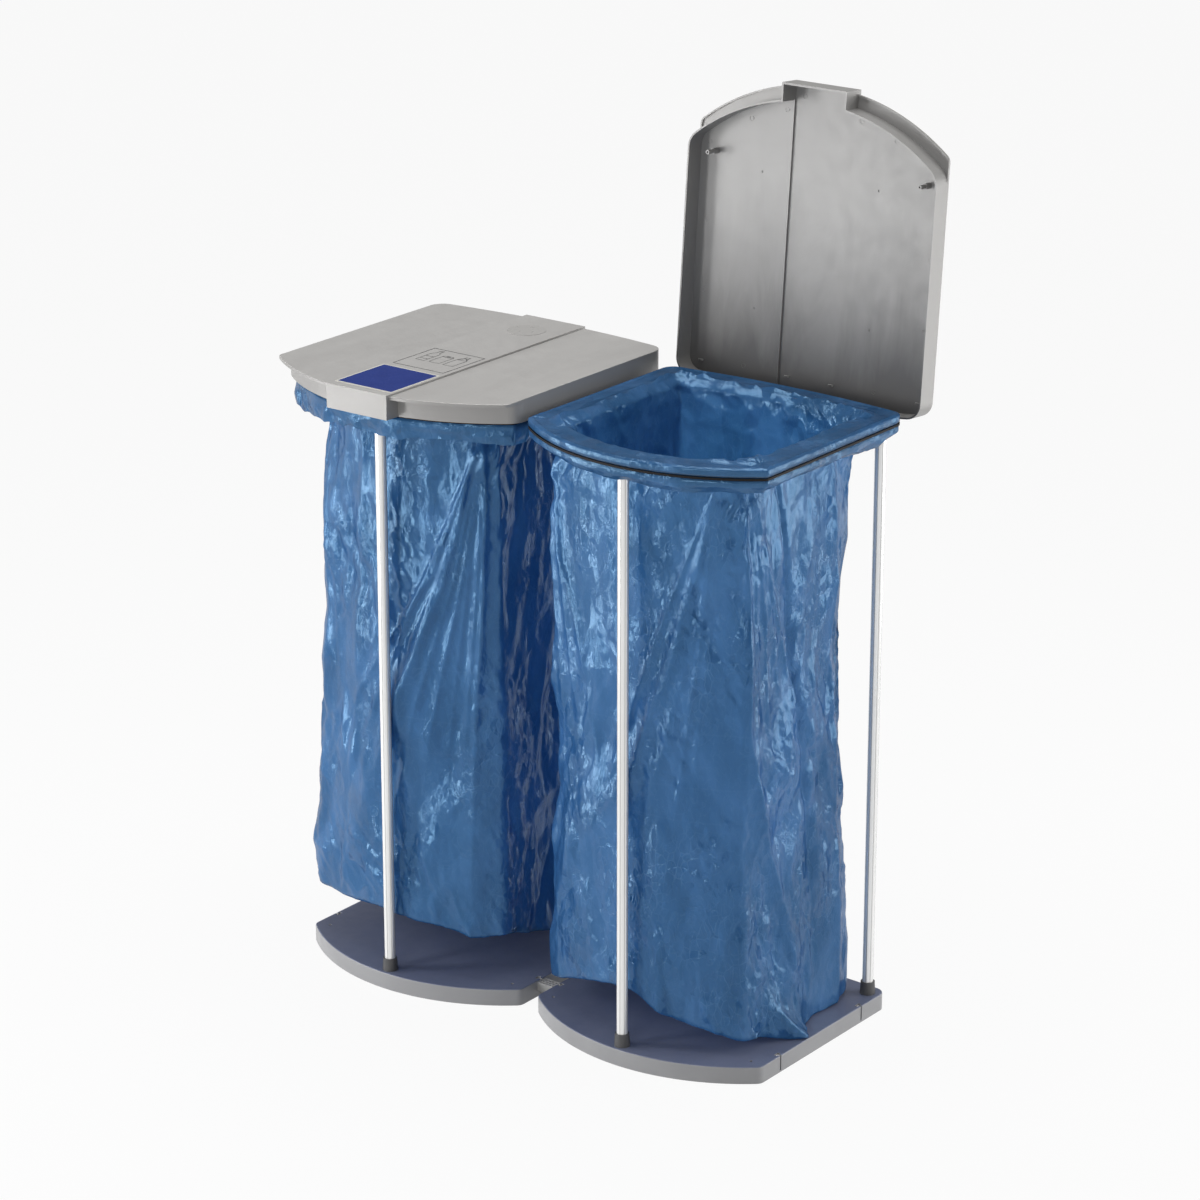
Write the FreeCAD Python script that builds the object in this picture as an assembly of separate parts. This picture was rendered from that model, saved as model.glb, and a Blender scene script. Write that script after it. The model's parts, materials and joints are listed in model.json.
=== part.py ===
import FreeCAD, Part
import math
import os
from collections import namedtuple

from FreeCAD import Vector

# Double waste-sack stand: two equal three-pole units, joined at the base.
# Millimetres, +Z up. X runs across the two units, -Y is the front.
# The left unit stands with its lid shut, the right unit with its lid open.
# Unit frame: x = 0 on the unit's middle, z = 0 on the floor, y = 0 near the sack ring's middle.

# ---------------------------------------------------------------- driving sizes
# Base plate
base_width = 418.0
base_height = 27.0
base_front = 244.5
base_front_radius = 315.0
base_rear = 176.0
base_rear_radius = 3600.0
base_front_corner = 15.0
base_rear_corner = 18.0
base_top_thickness = 3.5
base_wall = 4.0
base_edge_round = 2.0
base_rib = 3.0
base_rib_foot_gap = 1.0
screw_hole = 4.5
screw_boss = 12.0
screw_side_inset = 24.0
screw_front_inset = 27.5

# Poles and collars
pole_diameter = 17.0
pole_wall = 1.5
pole_front_inset = 16.5
pole_side_inset = 19.5
pole_rear_inset = 29.5
pole_fit = 0.05
socket_wall = 4.0
base_socket_floor = 5.0
collar_height = 20.0
collar_top_wall = 2.3
collar_foot_wall = 3.4

# Ring that carries the sack; the overhangs are beyond the base plate
ring_top = 950.0
ring_height = 24.0
ring_side_overhang = 3.0
ring_front_overhang = 8.5
ring_rear_overhang = 10.5
ring_radius_growth = 13.0
ring_rear_radius = 1500.0
ring_front_corner = 8.0
ring_rear_corner = 20.0
ring_rim = 42.0
ring_web = 3.0
ring_outer_wall = 5.0
ring_inner_wall = 3.0
opening_front_corner = 15.0
opening_rear_corner = 18.0
ring_socket_drop = 8.0
groove_below_top = 9.5
groove_height = 7.0
groove_depth = 3.0
lower_flange_inset = 1.5

# Sack film (drawn thicker than real film, so that it is a closed solid)
film = 1.2
film_gap = 0.3
cuff_drop = 24.0
sack_bottom_gap = 6.0
sack_flare = 24.0
sack_front_taper = 5.0
sack_corner = 34.0
sack_round = 30.0
sack_round_steps = 4

# Elastic band that grips the film in the ring's groove
elastic_height = 3.4
elastic_thickness = 2.5

# Lid; the overhangs are beyond the ring
lid_rise = 23.5
lid_plate = 2.5
lid_depth = 34.8
lid_wall = 2.5
lid_side_overhang = 9.0
lid_front_overhang = 26.0
lid_radius_growth = 27.0
lid_front_corner = 13.0
skirt_front_overhang = 6.0
skirt_radius_growth = 12.0
skirt_front_corner = 30.0
lid_rear_overhang = 10.5
lid_rear_corner = 25.0
lid_edge_round = 1.0
plate_lip = 2.5
plate_lip_width = 2.5
lid_gap = 8.0

# Raised band down the lid's middle, and the hollow handle block at its front
band_width = 115.0
band_height = 3.0
band_skin = 2.5
band_rear_lip = 0.5
block_lead = 2.0
block_wall = 3.0

# Lid furniture
label_length = 112.0
label_margin = 3.5
label_setback = 16.0
label_border = 2.5
label_thickness = 0.5
panel_width = 98.0
panel_length = 100.0
panel_gap = 14.0
panel_line = 1.0
panel_thickness = 0.3
disc_diameter = 60.0
disc_rear_inset = 73.0
disc_thickness = 0.6

# Underside of the lid; each moulding mark is placed by its inset from the lid's side, and by y
peg_side_inset = 23.0
peg_front_inset = 35.0
peg_length = 26.0
peg_foot_diameter = 9.0
peg_foot_length = 12.0
peg_tip_diameter = 6.5
peg_bore = 3.0
peg_bore_depth = 12.0
peg_gap = 0.3
pocket_diameter = 18.0
pocket_wall = 2.0
mark_outer = 8.0
mark_line = 0.9
mark_depth = 0.5
mark_places = ((18.0, -170.0), (92.0, -215.0), (155.0, -236.0),
               (103.0, 161.0), (20.0, 56.0), (20.0, -50.0))
block_mark_x = 38.0
block_mark_inset = 22.0
dimple_diameter = 4.0
dimple_depth = 1.2
dimple_x = 104.0
dimple_ys = (-138.0, 70.0)
hook_diameter = 9.0
hook_thickness = 2.5
hook_inner_x = 40.0
hook_side_inset = 24.0
hook_rear_inset = 32.0

# Hinges
open_angle = 94.7
hinge_x = 120.0
hinge_inset = 8.0
hinge_drop = 10.3
pin_diameter = 5.0
pin_fit = 0.05
knuckle_diameter = 10.0
lug_length = 42.0
ring_knuckle = 12.0
knuckle_gap = 1.0
lug_front_reach = 17.0
lug_plate = 8.0
lug_reach = 13.0
lug_clearance = 0.6
heel_clearance = 1.2
stop_gap = 0.3
web_front_inset = 1.7

# Connectors between the two bases
slit_front_inset = 129.5
slit_rear_inset = 75.5
slit_width = 3.5
slit_foot = 3.0
notch_width = 10.0
notch_depth = 5.0
connector_gap = 0.3
connector_width = 20.0
connector_foot = 10.0
connector_sink = 2.0
connector_ribs = 4
connector_rib = 2.6
connector_groove_depth = 8.0

# Two edges or points count as being at the same place within this distance.
same_place = 1e-4


def sag(radius, half_chord):
    """Height of a shallow arc over its chord."""
    return radius - math.sqrt(radius * radius - half_chord * half_chord)


# ---------------------------------------------------------------- derived sizes
base_rim = base_height - base_top_thickness
screw_x = base_width / 2 - screw_side_inset
screw_y = screw_front_inset + sag(base_front_radius, screw_x) - base_front
cross_rib_y = (base_rear - base_front) / 2
slit_ys = (slit_front_inset - base_front, base_rear - slit_rear_inset)

pole_radius = pole_diameter / 2
pole_front_y = pole_front_inset - base_front
pole_rear_x = base_width / 2 - pole_side_inset
pole_rear_y = base_rear - pole_rear_inset
pole_places = ((0.0, pole_front_y), (-pole_rear_x, pole_rear_y), (pole_rear_x, pole_rear_y))
pole_names = ("front", "rear_left", "rear_right")

ring_width = base_width + 2 * ring_side_overhang
ring_front = base_front + ring_front_overhang
ring_front_radius = base_front_radius + ring_radius_growth
ring_rear = base_rear + ring_rear_overhang
ring_foot = ring_top - ring_height
groove_high = ring_top - groove_below_top
groove_low = groove_high - groove_height
film_top = ring_top + film_gap + film
sack_foot = base_height + sack_bottom_gap

lid_width = ring_width + 2 * lid_side_overhang
lid_front = ring_front + lid_front_overhang
lid_front_radius = ring_front_radius + lid_radius_growth
skirt_front = ring_front + skirt_front_overhang
skirt_front_radius = ring_front_radius + skirt_radius_growth
lid_rear = ring_rear + lid_rear_overhang
lid_rear_radius = ring_rear_radius
lid_top = ring_top + lid_rise
lid_under = lid_top - lid_plate
skirt_foot = lid_top - lid_depth
band_top = lid_top + band_height
band_under = band_top - band_skin
block_front = lid_front + block_lead
unit_pitch = lid_width + lid_gap
base_gap = unit_pitch - base_width

peg_x = ring_width / 2 - peg_side_inset
peg_y = peg_front_inset + sag(ring_front_radius, peg_x) - ring_front
peg_foot_z = lid_under - peg_length
pocket_floor = peg_foot_z - peg_gap - film - film_gap
hook_side_x = lid_width / 2 - hook_side_inset
hook_y = lid_rear - hook_rear_inset
disc_y = lid_rear - disc_rear_inset

hinge_y = lid_rear - hinge_inset
hinge_z = skirt_foot - hinge_drop
lug_front_y = hinge_y - lug_front_reach
lid_knuckle = lug_length - 2 * ring_knuckle - 2 * knuckle_gap
swing_sin = math.sin(math.radians(open_angle))
swing_cos = math.cos(math.radians(open_angle))

# The origin is the bottom centre of the whole object's bounding box.
open_rear = hinge_y - (block_front + hinge_y) * swing_cos + (band_top - hinge_z) * swing_sin
centre_shift = (block_front - open_rear) / 2

Outline = namedtuple("Outline", "half front front_radius rear rear_radius front_corner rear_corner")

base_line = Outline(base_width / 2, base_front, base_front_radius, base_rear, base_rear_radius,
                    base_front_corner, base_rear_corner)
ring_line = Outline(ring_width / 2, ring_front, ring_front_radius, ring_rear, ring_rear_radius,
                    ring_front_corner, ring_rear_corner)
opening_line = Outline(ring_width / 2 - ring_rim, ring_front - ring_rim, ring_front_radius - ring_rim,
                       ring_rear - ring_rim, ring_rear_radius - ring_rim,
                       opening_front_corner, opening_rear_corner)
plate_line = Outline(lid_width / 2, lid_front, lid_front_radius, lid_rear, lid_rear_radius,
                     lid_front_corner, lid_rear_corner)
skirt_line = Outline(lid_width / 2, skirt_front, skirt_front_radius, lid_rear, lid_rear_radius,
                     skirt_front_corner, lid_rear_corner)


# ---------------------------------------------------------------- helpers
def grown(line, by):
    """The outline moved outwards by a distance, or inwards if it is negative."""
    return Outline(line.half + by, line.front + by, line.front_radius + by, line.rear + by,
                   line.rear_radius + by, line.front_corner + by, line.rear_corner + by)


def prism(line, low, high):
    """Solid with bowed front and rear, straight sides and round corners."""
    half = line.half
    front_side = -line.front + sag(line.front_radius, half)
    rear_side = line.rear - sag(line.rear_radius, half)
    corners = [Vector(-half, front_side, low), Vector(half, front_side, low),
               Vector(half, rear_side, low), Vector(-half, rear_side, low)]
    edges = [Part.Arc(corners[0], Vector(0, -line.front, low), corners[1]).toShape(),
             Part.makeLine(corners[1], corners[2]),
             Part.Arc(corners[2], Vector(0, line.rear, low), corners[3]).toShape(),
             Part.makeLine(corners[3], corners[0])]
    solid = Part.Face(Part.Wire(edges)).extrude(Vector(0, 0, high - low))
    for radius, in_front in ((line.front_corner, True), (line.rear_corner, False)):
        if radius > 0:
            solid = solid.makeFillet(radius, corner_edges(solid, half, in_front))
    return solid


def corner_edges(solid, half, in_front):
    """Upright edges at the two front or the two rear corners."""
    found = []
    for edge in solid.Edges:
        first, last = edge.firstVertex().Point, edge.lastVertex().Point
        upright = abs(first.x - last.x) < same_place and abs(first.y - last.y) < same_place
        if upright and abs(abs(first.x) - half) < same_place and (first.y < 0) == in_front:
            found.append(edge)
    return found


def edges_at(solid, height):
    """Edges that lie in the level plane at this height."""
    box = [edge.BoundBox for edge in solid.Edges]
    return [edge for edge, b in zip(solid.Edges, box)
            if abs(b.ZMin - height) < same_place and abs(b.ZMax - height) < same_place]


def block(x0, x1, y0, y1, z0, z1):
    return Part.makeBox(x1 - x0, y1 - y0, z1 - z0, Vector(x0, y0, z0))


def post(x, y, z0, z1, diameter):
    return Part.makeCylinder(diameter / 2, z1 - z0, Vector(x, y, z0))


def cross_rod(x0, x1, y, z, diameter):
    """Round rod along X."""
    return Part.makeCylinder(diameter / 2, x1 - x0, Vector(x0, y, z), Vector(1, 0, 0))


def joined(first, others):
    return first.fuse(list(others)).removeSplitter()


# ---------------------------------------------------------------- base
def base_plate():
    shell = prism(base_line, 0, base_height)
    shell = shell.makeFillet(base_edge_round, edges_at(shell, base_height))
    hollow = prism(grown(base_line, -base_wall), 0, base_rim)
    socket = pole_diameter + 2 * (pole_fit + socket_wall)
    for x, y in pole_places:
        hollow = hollow.cut(post(x, y, 0, base_rim, socket))
    for side in (-1, 1):
        hollow = hollow.cut(post(side * screw_x, screw_y, 0, base_rim, screw_boss))
    half, rib = base_width / 2, base_rib / 2
    hollow = hollow.cut(block(-rib, rib, -base_front, base_rear, base_rib_foot_gap, base_rim))
    hollow = hollow.cut(block(-half, half, cross_rib_y - rib, cross_rib_y + rib, base_rib_foot_gap, base_rim))
    shell = shell.cut(hollow)
    for x, y in pole_places:
        shell = shell.cut(post(x, y, base_socket_floor, base_height, pole_diameter + 2 * pole_fit))
    for side in (-1, 1):
        shell = shell.cut(post(side * screw_x, screw_y, 0, base_height, screw_hole))
        for y in slit_ys:
            shell = shell.cut(slit_cut(side, y))
    return shell


def slit_cut(side, y):
    """Narrow slit through a side wall, with the notch that lets a connector's head in from above."""
    wall_out = base_width / 2
    wall_in = wall_out - base_wall
    slit = block(wall_in, wall_out, y - slit_width / 2, y + slit_width / 2, slit_foot, base_height)
    notch = block(wall_in - notch_depth, wall_in, y - notch_width / 2, y + notch_width / 2,
                  slit_foot, base_height)
    cut = slit.fuse(notch)
    if side < 0:
        cut = cut.mirror(Vector(0, 0, 0), Vector(1, 0, 0))
    return cut


def connector(y):
    """Ribbed bar between the bases, with a tongue and a head at each end."""
    half_gap = base_gap / 2 - connector_gap
    top = base_height - connector_sink
    bar = block(-half_gap, half_gap, y - connector_width / 2, y + connector_width / 2, connector_foot, top)
    spaces = connector_ribs - 1
    space = (connector_width - connector_ribs * connector_rib) / spaces
    for i in range(spaces):
        start = y - connector_width / 2 + connector_rib + i * (connector_rib + space)
        bar = bar.cut(block(-half_gap, half_gap, start, start + space, top - connector_groove_depth, top))
    tongue_half = slit_width / 2 - connector_gap
    head_half = notch_width / 2 - connector_gap
    head_in = base_gap / 2 + base_wall + connector_gap
    head_out = base_gap / 2 + base_wall + notch_depth - connector_gap
    parts = [block(-head_out, head_out, y - tongue_half, y + tongue_half, slit_foot, top)]
    for x0, x1 in ((head_in, head_out), (-head_out, -head_in)):
        parts.append(block(x0, x1, y - head_half, y + head_half, slit_foot, top))
    tongue = joined(parts[0], parts[1:])
    # Only the ends of the tongue are kept, so that the grooves in the bar stay open.
    between = block(-half_gap, half_gap, y - tongue_half, y + tongue_half, slit_foot, base_height)
    return joined(bar, [tongue.cut(between)])


# ---------------------------------------------------------------- poles
def pole(x, y):
    low, high = base_socket_floor, ring_top - ring_web
    tube = post(x, y, low, high, pole_diameter)
    return tube.cut(post(x, y, low, high, pole_diameter - 2 * pole_wall))


def collar(x, y):
    low, high = base_height, base_height + collar_height
    bore = pole_radius + pole_fit
    cone = Part.makeCone(bore + collar_foot_wall, bore + collar_top_wall, high - low, Vector(x, y, low))
    return cone.cut(post(x, y, low, high, 2 * bore))


# ---------------------------------------------------------------- ring
def ring_layers(by, foot):
    """The ring's outer skin moved out by a distance: lower flange, groove and upper flange."""
    lower = prism(grown(ring_line, by - lower_flange_inset), foot, groove_low + by)
    waist = prism(grown(ring_line, by - groove_depth), groove_low + by, groove_high - by)
    upper = prism(grown(ring_line, by), groove_high - by, ring_top + by)
    return joined(lower, [waist, upper])


def ring_frame():
    ring = ring_layers(0, ring_foot)
    channel = prism(grown(ring_line, -ring_outer_wall), ring_foot, ring_top - ring_web)
    channel = channel.cut(prism(grown(opening_line, ring_inner_wall), ring_foot, ring_top - ring_web))
    ring = ring.cut(channel).cut(prism(opening_line, ring_foot, ring_top))
    socket = pole_diameter + 2 * (pole_fit + socket_wall)
    socket_foot = ring_foot - ring_socket_drop
    ring = joined(ring, [post(x, y, socket_foot, ring_top - ring_web, socket) for x, y in pole_places])
    for x, y in pole_places:
        ring = ring.cut(post(x, y, socket_foot, ring_top - ring_web, pole_diameter + 2 * pole_fit))
    cup_diameter = pocket_diameter + 2 * pocket_wall
    for x in (-peg_x, peg_x):
        cup = post(x, peg_y, pocket_floor - pocket_wall, ring_top - ring_web, cup_diameter)
        ring = joined(ring, [cup]).cut(post(x, peg_y, pocket_floor, ring_top, pocket_diameter))
    return joined(ring, [ring_lug(-hinge_x), ring_lug(hinge_x)])


def ring_lug(x):
    """Hinge lug: a foot under the ring's rear wall, a heel that stops the open lid, and two knuckles."""
    x0, x1 = x - lug_length / 2, x + lug_length / 2
    heel_top = hinge_z - knuckle_diameter / 2 - heel_clearance
    heel_foot = heel_top - lug_plate
    rear = hinge_y + lug_reach
    foot_top = groove_low - lug_clearance
    inside_flange = prism(grown(ring_line, -lower_flange_inset), heel_foot, foot_top)
    foot = block(x0, x1, lug_front_y, ring_rear, heel_foot, foot_top).common(inside_flange)
    heel = block(x0, x1, lug_front_y, rear, heel_foot, heel_top)
    stop_x0, stop_x1 = x - lid_knuckle / 2, x + lid_knuckle / 2
    stop_front = hinge_y + knuckle_diameter / 2 + 2 * lug_clearance
    stop = block(stop_x0, stop_x1, stop_front, rear, heel_top, hinge_z - stop_drop())
    parts = [heel, stop]
    for k0, k1 in ((x0, x0 + ring_knuckle), (x1 - ring_knuckle, x1)):
        parts.append(cross_rod(k0, k1, hinge_y, hinge_z, knuckle_diameter))
        parts.append(block(k0, k1, hinge_y - knuckle_diameter / 2, hinge_y + knuckle_diameter / 2,
                           heel_top, hinge_z))
    lug = joined(foot, parts)
    return lug.cut(cross_rod(x0, x1, hinge_y, hinge_z, pin_diameter))


def stop_drop():
    """How far under the hinge axis the open lid's rear wall comes down, with the stop's gap."""
    nearest_x = hinge_x - lid_knuckle / 2
    wall = lid_rear - sag(lid_rear_radius, nearest_x) - hinge_y
    along = (lug_reach - wall * swing_cos) / swing_sin
    return wall * swing_sin - along * swing_cos + stop_gap


def hinge_pin(x):
    return cross_rod(x - lug_length / 2, x + lug_length / 2, hinge_y, hinge_z, pin_diameter)


# ---------------------------------------------------------------- sack
def film_cuff():
    """The sack's mouth turned over the ring: it lines the rim, the groove and the peg pockets."""
    foot = ring_foot - cuff_drop
    cuff = ring_layers(film_gap + film, foot).cut(ring_layers(film_gap, foot))
    cuff = cuff.cut(prism(grown(opening_line, -film_gap - film), foot, film_top))
    lining_diameter = pocket_diameter - 2 * film_gap
    lining_foot = pocket_floor + film_gap
    for x in (-peg_x, peg_x):
        lining = post(x, peg_y, lining_foot, film_top, lining_diameter)
        space = post(x, peg_y, lining_foot + film, film_top, lining_diameter - 2 * film)
        cuff = joined(cuff, [lining]).cut(space)
    for x in (-hinge_x, hinge_x):
        half = lug_length / 2 + lug_clearance
        top = hinge_z - knuckle_diameter / 2
        cuff = cuff.cut(block(x - half, x + half, lug_front_y, ring_rear + film, foot, top))
    return cuff


def sack():
    """The sack below its mouth: it hangs inside the ring and is open at the top."""
    return sack_solid(0).cut(sack_solid(film))


def sack_solid(inset):
    """Ruled solid: straight through the ring, then a little wider downwards to a rounded bottom."""
    mouth = grown(opening_line, -film_gap - inset)
    wide = Outline(opening_line.half - film_gap + sack_flare, opening_line.front - sack_front_taper,
                   opening_line.front_radius, opening_line.rear - sack_front_taper,
                   opening_line.rear_radius, sack_corner, sack_corner)
    wires = []
    for step in range(sack_round_steps + 1):
        turn = math.radians(90) * step / sack_round_steps
        level = sack_foot + inset + sack_round * (1 - math.cos(turn))
        drawn_in = inset + sack_round * (1 - math.sin(turn))
        wires.append(edge_wire(grown(wide, -drawn_in), level))
    wires.append(edge_wire(mouth, ring_foot))
    wires.append(edge_wire(mouth, ring_top + film_gap))
    return Part.makeLoft(wires, True, True)


def edge_wire(line, height):
    """The outline as a closed wire at one height: the lower edge of a film-thin slice."""
    slice_of_it = prism(line, height, height + film)
    lowest = min(slice_of_it.Faces, key=lambda face: face.CenterOfMass.z)
    return lowest.OuterWire


def elastic_band():
    middle = (groove_low + groove_high) / 2
    low, high = middle - elastic_height / 2, middle + elastic_height / 2
    inner = grown(ring_line, film_gap + film - groove_depth)
    band = prism(grown(inner, elastic_thickness), low, high)
    return band.cut(prism(inner, low, high))


# ---------------------------------------------------------------- lid, modelled shut
def lid_shell():
    half_band = band_width / 2
    plate = prism(plate_line, lid_under, lid_top)
    plate = plate.makeFillet(lid_edge_round, edges_at(plate, lid_top))
    lip = prism(plate_line, lid_under - plate_lip, lid_under)
    lip = lip.cut(prism(grown(plate_line, -plate_lip_width), lid_under - plate_lip, lid_under))
    skirt = prism(skirt_line, skirt_foot, lid_under)
    handle_rear = -skirt_front + skirt_front_corner
    handle = block(-half_band, half_band, -block_front, handle_rear, skirt_foot, band_top)
    strip = block(-half_band, half_band, -block_front, lid_rear + band_rear_lip, lid_under, band_top)
    shell = joined(plate, [lip, skirt, handle, strip])
    shell = shell.cut(prism(grown(skirt_line, -lid_wall), skirt_foot, lid_under))
    finger = half_band - block_wall
    front = -block_front + block_wall
    shell = shell.cut(block(-finger, finger, front, handle_rear, skirt_foot, band_under))
    shell = shell.cut(block(-finger, finger, front, lid_rear - lid_wall, lid_under, band_under))
    for side in (-1, 1):
        for inset, y in mark_places:
            shell = shell.cut(mark(side * (lid_width / 2 - inset), y, lid_under))
        for y in dimple_ys:
            shell = shell.cut(post(side * dimple_x, y, lid_under, lid_under + dimple_depth, dimple_diameter))
        shell = shell.cut(mark(side * block_mark_x, block_mark_inset - block_front, band_under))
    pegs = [peg(-peg_x), peg(peg_x)]
    knuckles = [lid_knuckle_at(-hinge_x), lid_knuckle_at(hinge_x)]
    hooks = [hook(side * hook_inner_x, band_under) for side in (-1, 1)]
    hooks += [hook(side * hook_side_x, lid_under) for side in (-1, 1)]
    return joined(shell, pegs + knuckles + hooks)


def hook(x, under):
    """Small half-round tab that hangs from the underside near the hinge side."""
    front, radius = hook_y - hook_thickness / 2, hook_diameter / 2
    disc = Part.makeCylinder(radius, hook_thickness, Vector(x, front, under), Vector(0, 1, 0))
    return disc.common(block(x - radius, x + radius, front, front + hook_thickness,
                             under - radius, under + mark_depth))


def mark(x, y, under):
    """Fine round moulding mark on the underside."""
    ring = post(x, y, under, under + mark_depth, mark_outer)
    return ring.cut(post(x, y, under, under + mark_depth, mark_outer - 2 * mark_line))


def peg(x):
    """Stepped hollow peg that rests in the ring's pocket when the lid is shut."""
    foot = post(x, peg_y, lid_under - peg_foot_length, lid_under, peg_foot_diameter)
    stem = post(x, peg_y, peg_foot_z, lid_under - peg_foot_length, peg_tip_diameter)
    return joined(foot, [stem]).cut(post(x, peg_y, peg_foot_z, peg_foot_z + peg_bore_depth, peg_bore))


def lid_knuckle_at(x):
    """Knuckle that hangs under the lid's rear wall."""
    x0, x1 = x - lid_knuckle / 2, x + lid_knuckle / 2
    web = block(x0, x1, hinge_y - web_front_inset, lid_rear, hinge_z, skirt_foot + knuckle_diameter)
    web = web.common(prism(skirt_line, hinge_z, skirt_foot + knuckle_diameter))
    knuckle = joined(cross_rod(x0, x1, hinge_y, hinge_z, knuckle_diameter), [web])
    return knuckle.cut(cross_rod(x0, x1, hinge_y, hinge_z, pin_diameter + 2 * pin_fit))


def label_area():
    """Half width, front and rear of the blue label on the band."""
    front = -block_front + label_setback
    return band_width / 2 - label_margin, front, front + label_length


def label_frame():
    half, front, rear = label_area()
    frame = block(-half, half, front, rear, band_top, band_top + label_thickness)
    return frame.cut(block(-half + label_border, half - label_border, front + label_border,
                           rear - label_border, band_top, band_top + label_thickness))


def label_panel():
    half, front, rear = label_area()
    return block(-half + label_border, half - label_border, front + label_border, rear - label_border,
                 band_top, band_top + label_thickness)


def picture_frame():
    """Thin raised line round the picture field behind the label."""
    front = label_area()[2] + panel_gap
    half = panel_width / 2
    top = band_top + panel_thickness
    frame = block(-half, half, front, front + panel_length, band_top, top)
    return frame.cut(block(-half + panel_line, half - panel_line, front + panel_line,
                           front + panel_length - panel_line, band_top, top))


def rear_disc():
    return post(0, disc_y, band_top, band_top + disc_thickness, disc_diameter)


# ---------------------------------------------------------------- assembly
def unit_parts(side):
    """All nodes of one unit, by name, in the unit frame with the lid shut."""
    fixed = {"base_plate": base_plate(), "ring_frame": ring_frame(), "sack_cuff": film_cuff(),
             "sack_body": sack(), "elastic_band": elastic_band(),
             "hinge_pin_left": hinge_pin(-hinge_x), "hinge_pin_right": hinge_pin(hinge_x)}
    for name, (x, y) in zip(pole_names, pole_places):
        fixed["pole_" + name] = pole(x, y)
        fixed["collar_" + name] = collar(x, y)
    moving = {"lid_shell": lid_shell(), "label_frame": label_frame(), "label_panel": label_panel(),
              "picture_frame": picture_frame(), "rear_disc": rear_disc()}
    if side == "right":
        for shape in moving.values():
            shape.rotate(Vector(0, hinge_y, hinge_z), Vector(1, 0, 0), -open_angle)
    return {**fixed, **moving}


def main():
    os.makedirs("parts", exist_ok=True)
    nodes = {}
    for side, middle in (("left", -unit_pitch / 2), ("right", unit_pitch / 2)):
        for name, shape in unit_parts(side).items():
            shape.translate(Vector(middle, centre_shift, 0))
            nodes[side + "_" + name] = shape
    for name, y in zip(("front", "rear"), slit_ys):
        shape = connector(y)
        shape.translate(Vector(0, centre_shift, 0))
        nodes["connector_" + name] = shape
    for name, shape in sorted(nodes.items()):
        print(name, "valid", shape.isValid(), "solids", len(shape.Solids), "volume", round(shape.Volume, 1))
        shape.exportStep("parts/" + name + ".step")
    print("centre shift", round(centre_shift, 4), "hinge z", round(hinge_z, 4))


main()
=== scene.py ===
import bpy
import json
import math
import numpy as np
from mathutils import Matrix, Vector


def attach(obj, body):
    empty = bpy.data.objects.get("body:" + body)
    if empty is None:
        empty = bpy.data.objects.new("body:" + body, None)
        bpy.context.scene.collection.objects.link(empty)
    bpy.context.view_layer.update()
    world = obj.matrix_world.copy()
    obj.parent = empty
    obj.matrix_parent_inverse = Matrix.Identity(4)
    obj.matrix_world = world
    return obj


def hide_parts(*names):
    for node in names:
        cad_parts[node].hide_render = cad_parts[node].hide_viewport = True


# Looks of the double sack stand: materials for the solids, the two film sacks with their folds, a thin line
# drawing in the picture fields, and the studio. The scene is in metres; shapes are worked out in millimetres.
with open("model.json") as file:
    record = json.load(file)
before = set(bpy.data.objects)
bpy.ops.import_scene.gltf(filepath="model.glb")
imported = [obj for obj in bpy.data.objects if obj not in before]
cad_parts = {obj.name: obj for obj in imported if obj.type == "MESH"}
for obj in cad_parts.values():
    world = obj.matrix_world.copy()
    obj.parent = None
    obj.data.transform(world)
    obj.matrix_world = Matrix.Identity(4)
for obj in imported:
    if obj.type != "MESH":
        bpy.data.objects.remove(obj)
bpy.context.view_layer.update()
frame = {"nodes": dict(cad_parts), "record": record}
nodes = frame["nodes"]
scene = bpy.context.scene
MM = 0.001

# Where each unit's own origin lies in the frame, in millimetres.
centre_shift = 2.7753
unit_middle = {"left": -225.0, "right": 225.0}


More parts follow.
